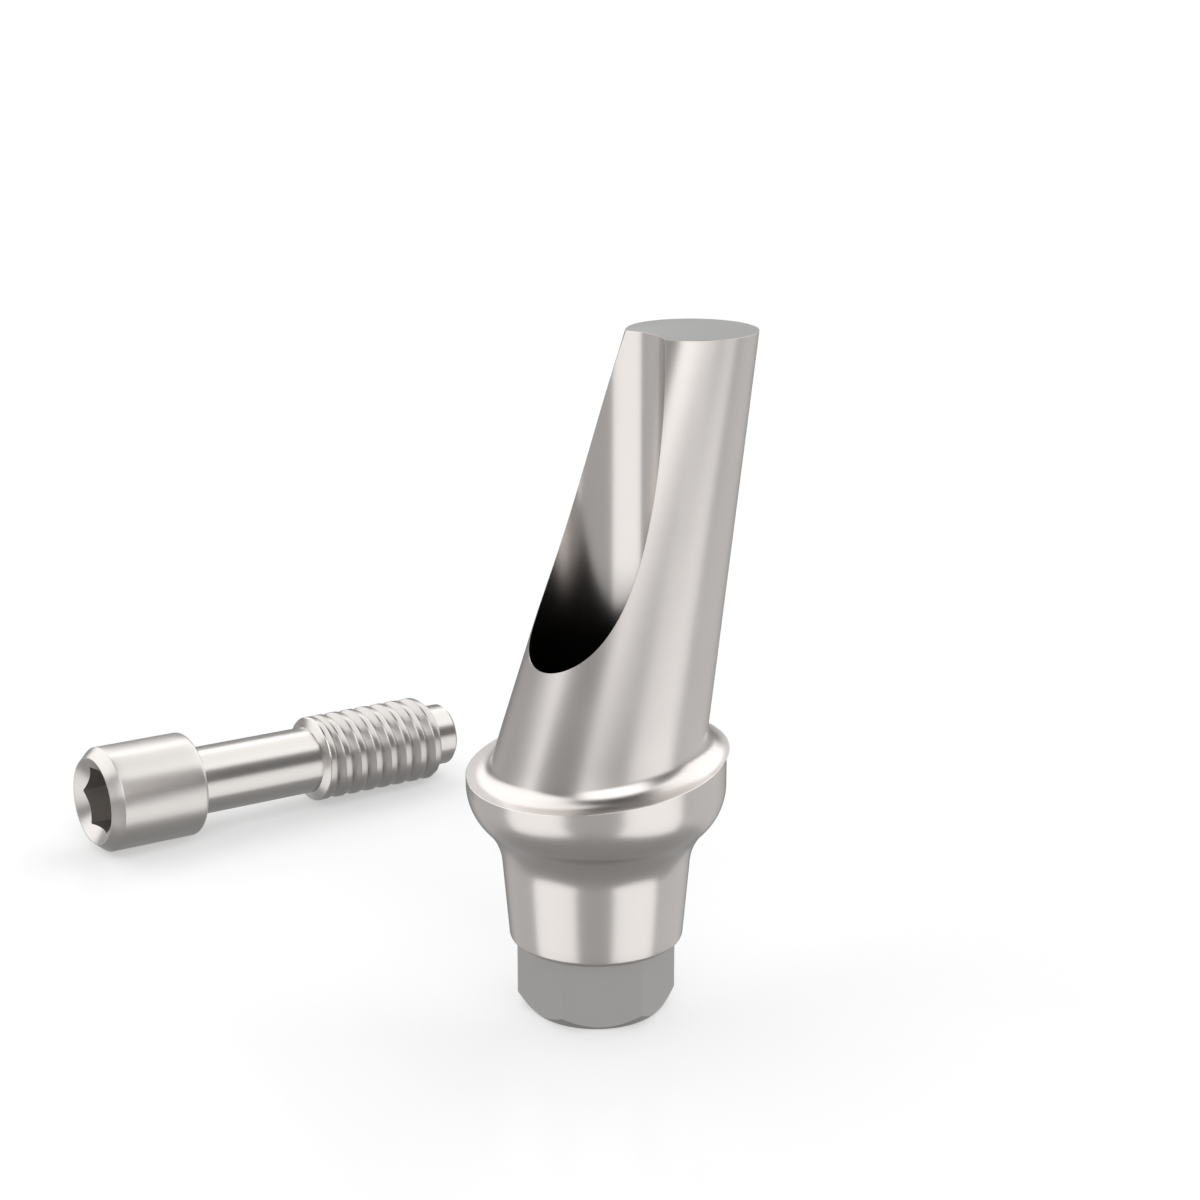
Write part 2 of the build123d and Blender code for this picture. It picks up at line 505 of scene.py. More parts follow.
    def hexagon_point(self, column: int, share: float) -> Vector:
        """A point of the hexagon's side.

        Args:
            column: The column.
            share: 0 at the lower chamfer, 1 at the cone.

        Returns:
            The point.
        """
        azimuth = self.azimuth(column)
        radius = hexagon_radius(self.hex_across_flats / 2, azimuth)
        start = radius - self.foot_face_radius
        return about_axis(radius, start + (self.hex_height - start) * share, azimuth)

    def mill_hexagon(self, bm: bmesh.types.BMesh) -> None:
        """Mill the hexagon, from the base face's edge to the cone's underside.

        Args:
            bm: The mesh to add to.
        """
        inner, outer = self.foot_face_radius, self.cone_foot()[0][0]
        skin = Skin(bm, self.columns + 1, lambda i: self.ring_point(i, inner, 0.0))
        for row in range(self.hexagon_rows + 1):
            skin.grow(lambda i: self.hexagon_point(i, row / self.hexagon_rows), Region.HEXAGON)
        skin.grow(lambda i: self.ring_point(i, outer, self.hex_height), Region.TURNED)

    def margin_point(self, column: int, radius: float, drop: float = 0.0) -> Vector:
        """A point in the margin's plane, or straight under it, at a radius from the axis."""
        rise = radius * cos(self.azimuth(column)) * tan(radians(self.margin_tilt))
        return self.ring_point(column, radius, self.margin_height + rise - drop)

    def cove_point(self, column: int, share: float) -> Vector:
        """A point of the cove, which a ball that touches the shoulder and the post rolls out.

        Args:
            column: The column, whose straight line the ball touches on the post.
            share: 0 at the shoulder, 1 at the post.

        Returns:
            The point.
        """
        azimuth = self.azimuth(column)
        up, out = self.margin_normal, self.post.normal(azimuth)
        foot = self.post.point(azimuth, self.post.lean_start)
        rise = self.post.point(azimuth, self.post.lean_start + 1.0) - foot
        start = foot + out * self.cove_radius
        gap = self.cove_radius - (start - UP * self.margin_height).dot(up)
        ball = start + rise * (gap / rise.dot(up))
        return ball - up.slerp(out, share) * self.cove_radius

    def mill_post(self, bm: bmesh.types.BMesh) -> None:
        """Mill the shoulder, the cove and the post's outside, up to the opening and the top.

        Args:
            bm: The mesh to add to.
        """
        outer = self.collar_radius
        drop = self.edge_break / cos(radians(self.margin_tilt))
        skin = Skin(bm, self.columns + 1, lambda i: self.margin_point(i, outer, self.edge_break))
        skin.grow(lambda i: self.margin_point(i, outer - drop), Region.TURNED)
        for row in range(self.cove_rows + 1):
            skin.grow(lambda i: self.cove_point(i, row / self.cove_rows), Region.COVE)
        for row in range(1, self.post_rows + 1):
            skin.grow(lambda i: self.lower_post_point(i, row / self.post_rows), Region.MILLED)
        skin.keep_to(self.side_columns)
        for row in range(1, self.opening_rows + 1):
            skin.grow(lambda i: self.side_point(i, self.side_height(row)), Region.MILLED)

    def lower_post_point(self, column: int, share: float) -> Vector:
        """A point between the cove and the level, or the opening's lower end, above it.

        Args:
            column: The column.
            share: 0 at the cove, 1 at the upper end.

        Returns:
            The point.
        """
        foot = self.cove_point(column, 1.0).z
        height = foot + (self.edge_height(column) - foot) * share
        return self.post.point(self.azimuth(column), height)

    def side_point(self, column: int, height: float, inset: float = 0.0) -> Vector:
        """A point of the post beside the opening, whose edge ends each level row."""
        end = self.post.opening_azimuth(height, self.rim_bore, inset)
        return self.post.point(end * column / self.side_columns, height, inset)

    def wall_end(self, height: float) -> float:
        """Azimuth at which the channel's wall gives way to the opening, at a height."""
        return self.post.bore_azimuth(height, self.channel_radius, self.edge_break)

    def channel_azimuth(self, column: int) -> float:
        """Azimuth about the implant's axis at which a column of the channel's wall ends."""
        return self.wall_end(self.edge_height(column)) * min(column / self.side_columns, 1.0)

    def channel_edge_point(self, column: int) -> Vector:
        """A point of the channel's wall where a column's lower part ends."""
        return about_axis(self.channel_radius, self.edge_height(column), self.channel_azimuth(column))

    def upper_channel_point(self, column: int, height: float) -> Vector:
        """A point of the channel's wall beside the opening's long sides."""
        azimuth = self.wall_end(height) * column / self.side_columns
        return about_axis(self.channel_radius, height, azimuth)

    def lower_channel_point(self, column: int, share: float) -> Vector:
        """A point of the channel's lower wall, where the columns leave their even spacing.

        Args:
            column: The column.
            share: 0 at the seat, 1 where each column stands as the opening above needs it.

        Returns:
            The point.
        """
        azimuth = self.azimuth(column)
        azimuth += (self.channel_azimuth(column) - azimuth) * share
        top = self.side_start - self.respaced_below
        height = self.seat_height + (top - self.seat_height) * share
        return about_axis(self.channel_radius, height, azimuth)

    def drill_channel(self, bm: bmesh.types.BMesh) -> None:
        """Drill the wide channel, from the seat to the opening's edge and the top.

        Args:
            bm: The mesh to add to.
        """
        skin = Skin(bm, self.columns + 1, lambda i: self.lower_channel_point(i, 0.0))
        for row in range(1, self.wall_rows + 1):
            skin.grow(lambda i: self.lower_channel_point(i, row / self.wall_rows), Region.BORE)
        skin.grow(self.channel_edge_point, Region.BORE)
        skin.keep_to(self.side_columns)
        for row in range(1, self.opening_rows + 1):
            skin.grow(lambda i: self.upper_channel_point(i, self.side_height(row)), Region.BORE)

    def outer_edge_point(self, step: int) -> Vector:
        """A point of the opening's edge on the post.

        Args:
            step: Number of the point, counted up from the lowest one.

        Returns:
            The point.
        """
        if step < self.tip_columns:
            return self.lower_post_point(self.columns - step, 1.0)
        return self.side_point(self.side_columns, self.side_height(step - self.tip_columns))

    def inner_edge_point(self, step: int) -> Vector:
        """The point of the opening's edge in the channel that faces the outer one.

        Args:
            step: Number of the point, counted up from the lowest one.

        Returns:
            The point.
        """
        if step < self.tip_columns:
            return self.channel_edge_point(self.columns - step)
        return self.upper_channel_point(self.side_columns, self.side_height(step - self.tip_columns))

    def break_opening_edge(self, bm: bmesh.types.BMesh) -> None:
        """Break the opening's edge with a narrow land, from its lowest point to the top."""
        count = self.tip_columns + self.opening_rows + 1
        Skin(bm, count, self.outer_edge_point).grow(self.inner_edge_point, Region.MILLED)

    def face_top(self, bm: bmesh.types.BMesh) -> None:
        """Face the post's top and break its edges.

        Args:
            bm: The mesh to add to.
        """
        top, last = self.post.top_height, self.side_columns
        inner_end = self.post.bore_azimuth(top, self.rim_bore, self.top_break)
        skin = Skin(bm, last + 1, lambda i: self.side_point(i, self.rim_top))
        skin.grow(lambda i: self.side_point(i, top, self.top_break), Region.MILLED)
        skin.grow(lambda i: about_axis(self.rim_bore, top, inner_end * i / last), Region.FACED)
        skin.grow(lambda i: self.upper_channel_point(i, self.rim_top), Region.MILLED)


@dataclass(frozen=True)
class Flank:
    """One side of a crest's section: half the flat, a rounding, a straight flank and the root.

    Offsets run along the axis from the middle of the crest. The tilt is the angle in radians
    between the flank and the plane across the axis.
    """

    tilt: float
    depth: float
    corner: float
    crest_rounding: float
    root_rounding: float
    crest_chords: int = 4
    root_chords: int = 3

    @property
    def swing(self) -> float:
        """Angle in radians that each rounding turns through."""
        return pi / 2 - self.tilt

    @property
    def crest_middle(self) -> float:
        """Offset at which the crest's rounding begins."""
        return self.corner - self.crest_rounding * tan(self.swing / 2)

    @property
    def root_middle(self) -> float:
        """Offset at which the root's rounding ends."""
        return self.corner + self.depth * tan(self.tilt) + self.root_rounding * tan(self.swing / 2)

    def offsets(self) -> list[float]:
        """Find the places where the section bends.

        Returns:
            Their offsets, from the crest's middle down to the root.
        """
        crest = [sin(self.swing * i / self.crest_chords) for i in range(self.crest_chords + 1)]
        root = [sin(self.swing * i / self.root_chords) for i in range(self.root_chords + 1)]
        return [
            0.0,
            *(self.crest_middle + self.crest_rounding * part for part in crest),
            *(self.root_middle - self.root_rounding * part for part in reversed(root)),
        ]

    def depth_at(self, offset: float) -> float:
        """Depth of the section under the crest.

        Args:
            offset: Distance from the crest's middle.

        Returns:
            The depth, from 0 on the crest to the full depth on the root.
        """
        if offset <= self.crest_middle:
            return 0.0
        if offset <= self.crest_middle + self.crest_rounding * sin(self.swing):
            hump = sqrt(self.crest_rounding**2 - (offset - self.crest_middle) ** 2)
            return self.crest_rounding - hump
        if offset <= self.root_middle - self.root_rounding * sin(self.swing):
            return (offset - self.corner) / tan(self.tilt)
        if offset <= self.root_middle:
            bowl = sqrt(self.root_rounding**2 - (self.root_middle - offset) ** 2)
            return self.depth - self.root_rounding + bowl
        return self.depth


def level_rows(outline: Sequence[Point2]) -> list[Row]:
    """Rows that are level circles, one for each point of an outline."""
    return [lambda azimuth, point=point: point for point in outline]


@dataclass(frozen=True)
class Screw:
    """The retaining screw, modelled up Z from its head's front face, then laid down."""

    head_radius: float = 1.125
    head_length: float = 2.185
    head_bevel_length: float = 0.232
    head_front_radius: float = 0.935
    head_rear_rounding: float = 0.08
    socket_across_flats: float = 1.27
    socket_depth: float = 1.2
    socket_tip_height: float = 0.18
    countersink_radius: float = 0.915
    countersink_angle: float = 110.0
    shank_radius: float = 0.735
    shank_length: float = 3.0
    thread_radius: float = 0.945
    thread_depth: float = 0.145
    thread_pitch: float = 0.39
    thread_turns: int = 7
    thread_start: float = -83.0
    crest_corner: float = 0.08
    crest_rounding: float = 0.055
    root_rounding: float = 0.012
    head_flank: float = 45.0
    tip_flank: float = 29.0
    thread_lead_in: float = 0.10
    thread_lead_out: float = 0.15
    pilot_radius: float = 0.69
    pilot_length: float = 0.545
    pilot_chamfer: float = 0.07
    edge_rounding: float = 0.025
    front: Point2 = (-4.56, 12.10)
    heading: float = 1.5
    columns: int = 180
    edge_chords: int = 4
    crest_chords: int = 5
    rear_chords: int = 8

    @property
    def shank_end(self) -> float:
        """Where the shank meets the thread."""
        return self.head_length + self.shank_length

    @property
    def ring_centre(self) -> float:
        """Middle of the first crest, a plain ring."""
        return self.shank_end + self.thread_lead_in + self.crest_corner

    @property
    def last_crest(self) -> float:
        """Middle of the last crest."""
        return self.ring_centre + self.thread_turns * self.thread_pitch

    @property
    def thread_end(self) -> float:
        """Where the thread has run out."""
        return self.last_crest + self.thread_lead_out

    @property
    def thread_root(self) -> float:
        """Radius of the thread's root."""
        return self.thread_radius - self.thread_depth

    def flank(self, side: Side) -> Flank:
        """The section of a crest's side."""
        tilt = radians(self.head_flank if side is Side.HEAD else self.tip_flank)
        return Flank(tilt, self.thread_depth, self.crest_corner, self.crest_rounding, self.root_rounding)

    def resting_place(self) -> Matrix:
        """Place on the surface where the head's rear rim and the last crest both touch it.

        Returns:
            The matrix that lays the screw down.
        """
        rounding = self.head_rear_rounding
        along, radius = self.head_length - rounding, self.head_radius - rounding
        run = self.last_crest + self.crest_corner - along
        fall = radius - self.thread_radius
        nose_down = atan2(fall, run) + asin(rounding / hypot(run, fall))
        height = rounding + along * sin(nose_down) + radius * cos(nose_down)
        return (
            Matrix.Translation((*self.front, height))
            @ Matrix.Rotation(radians(self.heading), 4, "Z")
            @ Matrix.Rotation(nose_down + pi / 2, 4, "Y")
        )

    def reach(self, gap: float, side: Side) -> float:
        """How far a crest's section reaches towards its neighbour.

        Args:
            gap: Distance between the middles of the two crests.
            side: Side of the crest.

        Returns:
            The offset at which the two sections meet at one depth.
        """
        if gap < 2 * self.crest_corner:
            return gap / 2
        runs = {each: tan(self.flank(each).tilt) for each in Side}
        share = runs[side] / sum(runs.values())
        return self.crest_corner + (gap - 2 * self.crest_corner) * share

    def thread_point(self, along: float, radius: float) -> Point2:
        """Limit a point of the thread to the cone that it runs out in.

        Args:
            along: Place along the axis.
            radius: Radius without the cone.

        Returns:
            The (radius, place) that is left.
        """
        start = self.last_crest + self.crest_corner
        along = min(along, self.thread_end)
        left = (self.thread_end - along) / (self.thread_end - start)
        cone = self.thread_root + self.thread_depth * min(1.0, left)
        return min(radius, cone), along

    def crest_point(self, azimuth: float, turn: int | None, offset: float, side: Side) -> Point2:
        """A point over one crest of the ridge.

        Args:
            azimuth: Azimuth of the point, in radians.
            turn: Number of whole turns before this stretch of the ridge, or None for the
                plain first ring.
            offset: Distance from the crest's middle, if its neighbour leaves room for it.
            side: Side of the crest.

        Returns:
            The point, as (radius, place along the axis).
        """
        climb = azimuth / (2 * pi)
        gap = self.thread_pitch
        if turn is None or (turn == 0 and side is Side.HEAD):
            gap *= climb
        run = min(offset, self.reach(gap, side))
        middle = self.ring_centre
        if turn is not None:
            middle += self.thread_pitch * (turn + climb)
        radius = self.thread_radius - self.flank(side).depth_at(run)
        return self.thread_point(middle + side.value * run, radius)

    def crest_rows(self, turn: int | None) -> list[Row]:
        """Rows over one crest, from the head's side to the tip's side.

        Args:
            turn: Number of whole turns before this stretch of the ridge, or None for the
                plain first ring, which has its tip's side only.

        Returns:
            The rows.
        """
        places = [(offset, Side.TIP) for offset in self.flank(Side.TIP).offsets()]
        if turn is not None:
            head_side = self.flank(Side.HEAD).offsets()[1:]
            places = [(offset, Side.HEAD) for offset in reversed(head_side)] + places
        return [partial(self.crest_point, turn=turn, offset=run, side=side) for run, side in places]

    def wall_foot(self, azimuth: float) -> Point2:
        """Point where the driver socket's wall meets its bottom."""
        turned = azimuth + radians(self.thread_start)
        return hexagon_radius(self.socket_across_flats / 2, turned), self.socket_depth

    def mouth_edge(self, azimuth: float) -> Point2:
        """Point where the driver socket's wall meets its conical mouth."""
        radius = self.wall_foot(azimuth)[0]
        return radius, (self.countersink_radius - radius) / tan(radians(self.countersink_angle / 2))

    def socket_rows(self) -> list[Row]:
        """Lay out the driver socket and its conical mouth.

        Returns:
            The rows, from the socket's bottom out.
        """
        tip = (0.0, self.socket_depth + self.socket_tip_height)
        rim = (self.socket_across_flats / 2, self.socket_depth)
        return [*level_rows([tip, rim]), self.wall_foot, self.mouth_edge]

    def head_outline(self) -> list[Point2]:
        """Outside of the head.

        Returns:
            The outline, from the countersink to the shank.
        """
        rim = (self.countersink_radius, 0.0)
        front = (self.head_front_radius, 0.0)
        bevel = (self.head_radius, self.head_bevel_length)
        rear = (self.head_radius, self.head_length)
        neck = (self.shank_radius, self.head_length)
        outline = [
            rim,
            front,
            *rounded(front, bevel, rear, self.edge_rounding, self.edge_chords),
            *rounded(bevel, rear, neck, self.head_rear_rounding, self.rear_chords),
        ]
        return divided(outline)

    def shank_outline(self) -> list[Point2]:
        """Outside of the shank.

        Returns:
            The outline, from the head to the thread's first crest.
        """
        rear = (self.head_radius, self.head_length)
        neck = (self.shank_radius, self.head_length)
        end = (self.shank_radius, self.shank_end)
        lead = (self.thread_radius, self.ring_centre - self.crest_corner)
        crest = (self.thread_radius, self.ring_centre)
        outline = [
            *rounded(rear, neck, end, self.edge_rounding, self.edge_chords),
            end,
            *rounded(end, lead, crest, self.crest_rounding, self.crest_chords),
        ]
        return divided(outline)

    def tip_outline(self) -> list[Point2]:
        """Outside of the pilot.

        Returns:
            The outline, from the thread's end to the middle of the tip.
        """
        start, end = self.thread_end, self.thread_end + self.pilot_length
        radius, chamfer = self.pilot_radius, self.pilot_chamfer
        shoulder = [(self.thread_root, start), (radius, start)]
        return divided([*shoulder, (radius, end - chamfer), (radius - chamfer, end), (0.0, end)])

    def point(self, column: int, row: Row) -> Vector:
        """The point of a row in a column."""
        azimuth = 2 * pi * column / self.columns
        return about_axis(*row(azimuth), azimuth + radians(self.thread_start))

    def build(self) -> bpy.types.Object:
        """Model the whole screw.

        Returns:
            The finished piece.
        """
        stretches = [
            (Region.BORE, self.socket_rows()),
            (Region.HEAD, level_rows(self.head_outline())),
            (Region.TURNED, level_rows(self.shank_outline())),
            (Region.THREAD, self.crest_rows(None)),
            *((Region.THREAD, self.crest_rows(turn)) for turn in range(self.thread_turns + 1)),
            (Region.TURNED, level_rows(self.tip_outline())),
        ]
        rows = [(region, row) for region, stretch in stretches for row in stretch]
        bm = bmesh.new()
        skin = Skin(bm, self.columns + 1, partial(self.point, row=rows[0][1]))
        for region, row in rows[1:]:
            skin.grow(partial(self.point, row=row), region)
        return finish_mesh(bm, "screw", self.resting_place())


# Finishes


class Wire:
    """A shader socket with arithmetic: an expression on wires adds its Math nodes."""

    def __init__(self, recipe: "Recipe", socket: bpy.types.NodeSocket) -> None:
        """Wrap an output socket of a recipe."""
        self.recipe = recipe
        self.socket = socket

    def _math(self, operation: str, first: Any, second: Any) -> "Wire":
        """Add a Math node on two values."""
        return self.recipe.node("ShaderNodeMath", {"operation": operation}, {0: first, 1: second})

    def __add__(self, other: Any) -> "Wire":
        """Sum."""
        return self._math("ADD", self, other)

    def __sub__(self, other: Any) -> "Wire":
        """Difference."""
        return self._math("SUBTRACT", self, other)

    def __mul__(self, other: Any) -> "Wire":
        """Product."""
        return self._math("MULTIPLY", self, other)

    def __rsub__(self, other: Any) -> "Wire":
        """Difference from a number."""
        return self._math("SUBTRACT", other, self)

    __radd__ = __add__
    __rmul__ = __mul__

    def maximum(self, other: Any) -> "Wire":
        """The larger of two values."""
        return self._math("MAXIMUM", self, other)

    def beside(self, name: str) -> "Wire":
        """Another output of the same node."""
        return Wire(self.recipe, self.socket.node.outputs[name])


class Recipe:
    """The node tree of a material or of the world."""

    def __init__(self, owner: bpy.types.Material | bpy.types.World) -> None:
        """Start with an empty tree.

        Args:
            owner: The material or world that the tree belongs to.
        """
        owner.use_nodes = True
        self.tree = owner.node_tree
        self.tree.nodes.clear()

    def node(
        self, kind: str, settings: dict[str, Any], sockets: dict[Any, Any], output: Any = 0
    ) -> Wire:
        """Add a node.

        Args:
            kind: The node's type.
            settings: Its properties, set before its sockets; stops is a ramp's list of
                (position, colour).
            sockets: Values or wires by socket name or number.
            output: Which output to return.

        Returns:
            The chosen output.
        """
        made = self.tree.nodes.new(kind)
        for key, value in settings.items():
            if key == "stops":
                ramp = made.color_ramp
                while len(ramp.elements) < len(value):
                    ramp.elements.new(0.5)
                for element, (position, colour) in zip(ramp.elements, value):
                    element.position = position
                    element.color = colour
            else:
                setattr(made, key, value)
        for key, value in sockets.items():
            if isinstance(value, Wire):
                self.tree.links.new(value.socket, made.inputs[key])
            else:
                made.inputs[key].default_value = value
        return Wire(self, made.outputs[output]) if made.outputs else Wire(self, None)

    def blended(self, share: Wire, first: Any, second: Any) -> Wire:
        """Blend two colours, from the first at a share of 0 to the second at 1."""
        sockets = {"Factor": share, "A": first, "B": second}
        return self.node("ShaderNodeMix", {"data_type": "RGBA"}, sockets, "Result")

    def surface(self, shader: Wire, output: str = "ShaderNodeOutputMaterial") -> None:
        """Send a shader to the surface."""
        self.node(output, {}, {"Surface": shader})


@dataclass(frozen=True)
class Fade:
    """Another colour and roughness low on a piece, which give way to its own further up."""

    low: float
    high: float
    colour: Colour
    roughness: float


@dataclass(frozen=True)
class Titanium:
    """A machined titanium surface: warm grey metal with fine marks of the tool.

    The marks run round the piece's axis, and faint clouds make it a little darker and its
    roughness uneven.
    """

    name: str
    colour: Colour
    roughness: float
    mark_spacing: float
    mark_depth: float
    mottle: float
    fade: Fade | None = None
    mark_detail: float = 3.0
    cloud_detail: float = 4.0
    clouds_per_metre: float = 900.0
    cloud_shade: float = 0.95

    def material(self, axis: Matrix) -> bpy.types.Material:
        """Make the material.

        Args:
            axis: Place of the axis that the tool marks run round, in millimetres.

        Returns:
            The material.
        """
        material = bpy.data.materials.new(self.name)
        recipe = Recipe(material)
        home = axis.inverted()
        where = recipe.node("ShaderNodeTexCoord", {}, {}, "Object")
        local = recipe.node(
            "ShaderNodeMapping",
            {},
            {"Vector": where, "Rotation": home.to_euler(), "Location": home.translation * MM},
        )
        along = recipe.node("ShaderNodeSeparateXYZ", {}, {"Vector": local}, "Z")
        marks_per_metre = 1.0 / (self.mark_spacing * MM)
        marks = recipe.node(
            "ShaderNodeTexNoise",
            {"noise_dimensions": "1D"},
            {"W": along, "Scale": marks_per_metre, "Detail": self.mark_detail},
        )
        clouds = recipe.node(
            "ShaderNodeTexNoise",
            {},
            {"Vector": local, "Scale": self.clouds_per_metre, "Detail": self.cloud_detail},
        )
        rough = self.roughness + (marks + clouds - 1.0) * self.mottle
        darker = tuple(self.cloud_shade * channel for channel in self.colour)
        tint = recipe.blended(clouds, (*darker, 1.0), (*self.colour, 1.0))
        # On the drilled bore the fade's colour is painted shade deep in the channel; on the milled post
        # only the roughness changes
        if self.fade:
            above = recipe.node(
                "ShaderNodeMapRange",
                {"interpolation_type": "SMOOTHSTEP"},
                {"Value": along, "From Min": self.fade.low * MM, "From Max": self.fade.high * MM},
            )
            rough = self.fade.roughness + (rough - self.fade.roughness) * above
            tint = recipe.blended(above, (*self.fade.colour, 1.0), tint)
        bump = recipe.node(
            "ShaderNodeBump", {}, {"Height": marks, "Strength": 1.0, "Distance": self.mark_depth * MM}
        )
        shader = recipe.node(
            "ShaderNodeBsdfPrincipled",
            {},
            {"Base Color": tint, "Metallic": 1.0, "Roughness": rough, "Normal": bump},
        )
        recipe.surface(shader)
        return material


WARM_GREY = (0.632, 0.60, 0.579)
PALE_GREY = (0.58, 0.555, 0.535)
BLASTED_GREY = (0.465, 0.452, 0.441)
# Painted shade: a darker grey that makes the faced top dimmer than the rest of the titanium
TOP_FACE_SHADE_GREY = (0.38, 0.377, 0.372)
# Painted shade: a darker grey for the thread, standing in for shade between its crests
THREAD_SHADE_GREY = (0.50, 0.478, 0.461)
# Painted shade: a near-black grey that darkens the bore and the channel deep down, where shade falls
PAINTED_BORE_SHADE = (0.13, 0.12, 0.11)

# Name, colour, roughness, spacing and depth of the marks, and how uneven the roughness is
ABUTMENT_FINISHES = {
    Region.TURNED: Titanium("turned_collar", WARM_GREY, 0.24, 0.02, 0.0001, 0.04),
    Region.COVE: Titanium("coved_shoulder", WARM_GREY, 0.29, 0.02, 0.0001, 0.01),
    Region.MILLED: Titanium(
        "milled_post", WARM_GREY, 0.32, 0.05, 0.00015, 0.04, Fade(5.0, 6.0, WARM_GREY, 0.29)
    ),
    Region.HEXAGON: Titanium("blasted_hexagon", BLASTED_GREY, 0.50, 0.03, 0.0003, 0.05),
    # The bore's colour is painted shade below 6.4 mm, fading out by 8.2 mm up the channel
    Region.BORE: Titanium(
        "drilled_bore_painted_shade", WARM_GREY, 0.22, 0.04, 0.0001, 0.04, Fade(6.4, 8.2, PAINTED_BORE_SHADE, 0.22)
    ),
    # The faced top's darker grey is painted shade
    Region.FACED: Titanium("faced_top_painted_shade", TOP_FACE_SHADE_GREY, 0.50, 0.04, 0.0001, 0.03),
}

SCREW_FINISHES = {
    Region.BORE: Titanium("socket_wall", PALE_GREY, 0.35, 0.04, 0.0002, 0.05),
    Region.HEAD: Titanium("polished_head", PALE_GREY, 0.31, 0.03, 0.0001, 0.04),
    Region.TURNED: Titanium("turned_shank", PALE_GREY, 0.24, 0.03, 0.0001, 0.04),
    # The thread's darker grey is painted shade in its grooves
    Region.THREAD: Titanium("rolled_thread_painted_shade", THREAD_SHADE_GREY, 0.30, 0.04, 0.0001, 0.03),
}


def dress(piece: bpy.types.Object, finishes: dict[Region, Titanium], axis: Matrix) -> None:
    """Give each region of a piece its finish.

    Args:
        piece: The piece, whose faces carry their region's value as material index.
        finishes: Finish of each region that the piece has.
        axis: Place of the piece's axis, in millimetres.
    """
    slots = {region.value: slot for slot, region in enumerate(finishes)}
    for titanium in finishes.values():
        piece.data.materials.append(titanium.material(axis))
    for face in piece.data.polygons:
        face.material_index = slots[face.material_index]


# Studio


@dataclass(frozen=True)
class Softbox:
    """A soft area lamp that faces the object.

    Its half sizes are for a distance of 1, and so is its lift, which is how far its middle stands
    above the line that it faces along.
    """

    name: str
    azimuth: float
    elevation: float
    half_width: float
    half_height: float
    radiance: float
    lift: float = 0.0
    distance: float = 4000.0

    def hang(self, target: Vector, ahead: float) -> None:
        """Hang the lamp.

        Args:
            target: The place that it faces, in millimetres.
            ahead: Compass angle of the direction from the object to the camera, in radians.
        """
        turn, rise = ahead + radians(self.azimuth), radians(self.elevation)
        away = Vector((cos(rise) * cos(turn), cos(rise) * sin(turn), sin(rise)))
        upwards = Vector((-sin(rise) * cos(turn), -sin(rise) * sin(turn), cos(rise)))
        data = bpy.data.lights.new(self.name, "AREA")
        data.shape = "RECTANGLE"
        data.size = 2 * self.distance * self.half_width * MM
        data.size_y = 2 * self.distance * self.half_height * MM
        data.energy = self.radiance * pi * data.size * data.size_y
        lamp = add_object(self.name, data)
        lamp.location = (target + (away + upwards * self.lift) * self.distance) * MM
        lamp.rotation_euler = away.to_track_quat("Z", "Y").to_euler()
        lamp.visible_camera = False


@dataclass(frozen=True)
class Camera:
    """The photograph's viewpoint."""

    location: tuple[float, float, float] = (-24.061, -34.629, 19.638)
    heading: float = 34.889
    pitch: float = 15.824
    lens: float = 74.685
    sensor: float = 36.0
    nearest: float = 2.0
    furthest: float = 20000.0

    @property
    def compass(self) -> float:
        """Compass angle of the direction from the object to the camera, in radians."""
        return radians(270 - self.heading)

    def place(self) -> None:
        """Create the camera and make it the scene's."""
        data = bpy.data.cameras.new("camera")
        data.lens = self.lens
        data.sensor_width = self.sensor
        data.clip_start = self.nearest * MM
        data.clip_end = self.furthest * MM
        eye = add_object("camera", data)
        eye.location = Vector(self.location) * MM
        eye.rotation_euler = (radians(90 - self.pitch), 0.0, -radians(self.heading))
        bpy.context.scene.camera = eye


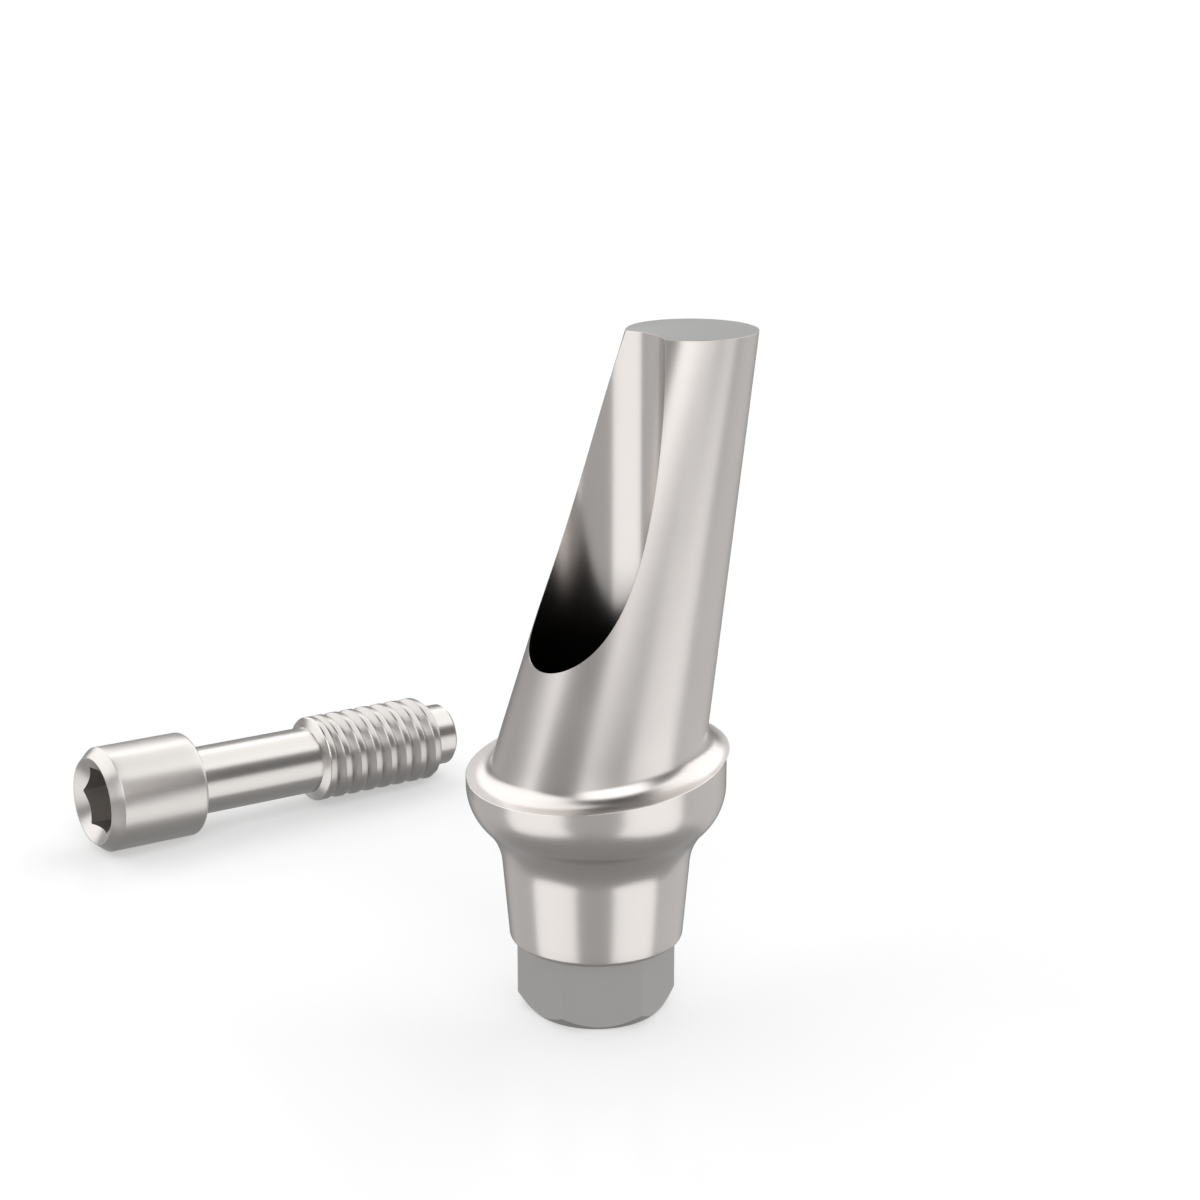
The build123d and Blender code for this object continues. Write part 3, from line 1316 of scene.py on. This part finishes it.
@dataclass(frozen=True)
class Studio:
    """White floor, dim surroundings, and softboxes above, below, beside and behind the object."""

    softboxes: tuple[Softbox, ...]
    surroundings: tuple[Point2, ...]
    target: tuple[float, float, float] = (0.0, 5.0, 4.0)
    floor_size: float = 12000.0
    floor_white: float = 0.83
    floor_glow: float = 0.38
    floor_mirror: float = 0.03
    floor_gloss: float = 0.05
    rear_level: float = 0.30
    rear_start: float = -0.65
    rear_full: float = -0.95

    def build(self, camera: Camera) -> None:
        """Lay the floor, light it and set the colour management.

        Args:
            camera: The camera that the softboxes are placed by.
        """
        self.lay_floor()
        self.light_world(camera.compass)
        for softbox in self.softboxes:
            softbox.hang(Vector(self.target), camera.compass)
        bpy.context.scene.view_settings.view_transform = "Standard"

    def lay_floor(self) -> None:
        """Lay a white floor under the object."""
        bm = bmesh.new()
        bmesh.ops.create_grid(bm, x_segments=1, y_segments=1, size=self.floor_size / 2 * MM)
        floor = as_object(bm, "floor")
        material = bpy.data.materials.new("white_table")
        recipe = Recipe(material)
        white = (self.floor_white, self.floor_white, self.floor_white, 1.0)
        matt = recipe.node("ShaderNodeBsdfDiffuse", {}, {"Color": white})
        sheen = recipe.node(
            "ShaderNodeBsdfGlossy", {}, {"Color": white, "Roughness": self.floor_gloss}
        )
        table = recipe.node("ShaderNodeMixShader", {}, {0: self.floor_mirror, 1: matt, 2: sheen})
        path = recipe.node("ShaderNodeLightPath", {}, {}, "Is Camera Ray")
        mirrored = path.maximum(path.beside("Is Glossy Ray"))
        seen = mirrored.maximum(path.beside("Is Transmission Ray")) * self.floor_glow
        glow = recipe.node("ShaderNodeEmission", {}, {"Strength": 1.0})
        shader = recipe.node("ShaderNodeMixShader", {}, {0: seen, 1: table, 2: glow})
        recipe.surface(shader)
        floor.data.materials.append(material)
        floor.visible_glossy = False
        floor.visible_shadow = False

    def light_world(self, ahead: float) -> None:
        """Make the surroundings dim grey, and white where the camera sees them directly.

        They grow dimmer behind the object, as seen from the camera.

        Args:
            ahead: Compass angle of the direction from the object to the camera, in radians.
        """
        world = bpy.data.worlds.new("studio")
        bpy.context.scene.world = world
        recipe = Recipe(world)
        where = recipe.node("ShaderNodeTexCoord", {}, {}, "Generated")
        rise = recipe.node("ShaderNodeSeparateXYZ", {}, {"Vector": where}, "Z")
        height = recipe.node("ShaderNodeMapRange", {}, {"Value": rise, "From Min": -1.0})
        stops = [(place, (level, level, level, 1.0)) for place, level in self.surroundings]
        grey = recipe.node("ShaderNodeValToRGB", {"stops": stops}, {"Fac": height})
        facing = recipe.node(
            "ShaderNodeVectorMath",
            {"operation": "DOT_PRODUCT"},
            {0: where, 1: (cos(ahead), sin(ahead), 0.0)},
            "Value",
        )
        limits = {"From Min": self.rear_full, "From Max": self.rear_start, "To Min": self.rear_level}
        shade = recipe.node("ShaderNodeMapRange", {}, {"Value": facing, **limits})
        around = recipe.node("ShaderNodeBackground", {}, {"Color": grey, "Strength": shade})
        white = recipe.node("ShaderNodeBackground", {}, {"Color": (1.0, 1.0, 1.0, 1.0)})
        seen = recipe.node("ShaderNodeLightPath", {}, {}, "Is Camera Ray")
        shader = recipe.node("ShaderNodeMixShader", {}, {0: seen, 1: around, 2: white})
        recipe.surface(shader, "ShaderNodeOutputWorld")


# Name, azimuth from the camera and elevation in degrees, half width, half height and radiance
SOFTBOXES = (
    Softbox("upper_front", 12.5, 20.0, 0.61, 0.60, 1.85, lift=0.48),
    Softbox("upper_right", 124.0, 40.0, 0.69, 0.62, 1.55),
    Softbox("upper_left", -116.0, 44.0, 1.09, 0.62, 1.55),
    Softbox("rear_right", 163.0, 33.0, 0.28, 0.14, 1.00),
    Softbox("rear_left", -172.0, 12.0, 0.36, 0.24, 0.30),
    Softbox("lower_right", 53.0, -19.5, 0.50, 0.47, 0.84),
    Softbox("lower_left", -56.0, -19.5, 0.50, 0.47, 0.84),
    Softbox("side_right", 125.0, -12.0, 0.65, 0.50, 0.20),
    Softbox("side_left", -122.0, -15.0, 0.50, 0.50, 0.10),
)

# Height, from 0 straight down to 1 straight up, and the grey level there
SURROUNDINGS = (
    (0.0, 0.32),
    (0.10, 0.36),
    (0.25, 0.54),
    (0.43, 0.57),
    (0.56, 0.18),
    (0.88, 0.19),
    (0.96, 0.0),
)


def main() -> None:
    """Build and dress every piece, then the studio."""
    logging.basicConfig(level=logging.INFO, format="%(name)s: %(message)s")
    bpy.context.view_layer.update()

    abutment = Abutment().build()
    dress(abutment, ABUTMENT_FINISHES, Matrix.Identity(4))
    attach(abutment, "root")
    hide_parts("abutment_body")
    log.info("%s is dressed and in place", abutment.name)

    retaining_screw = Screw()
    screw = retaining_screw.build()
    dress(screw, SCREW_FINISHES, retaining_screw.resting_place())
    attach(screw, "root")
    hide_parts("abutment_screw")
    log.info("%s is dressed and in place", screw.name)

    camera = Camera()
    camera.place()
    Studio(SOFTBOXES, SURROUNDINGS).build(camera)


if __name__ == "__main__":
    main()
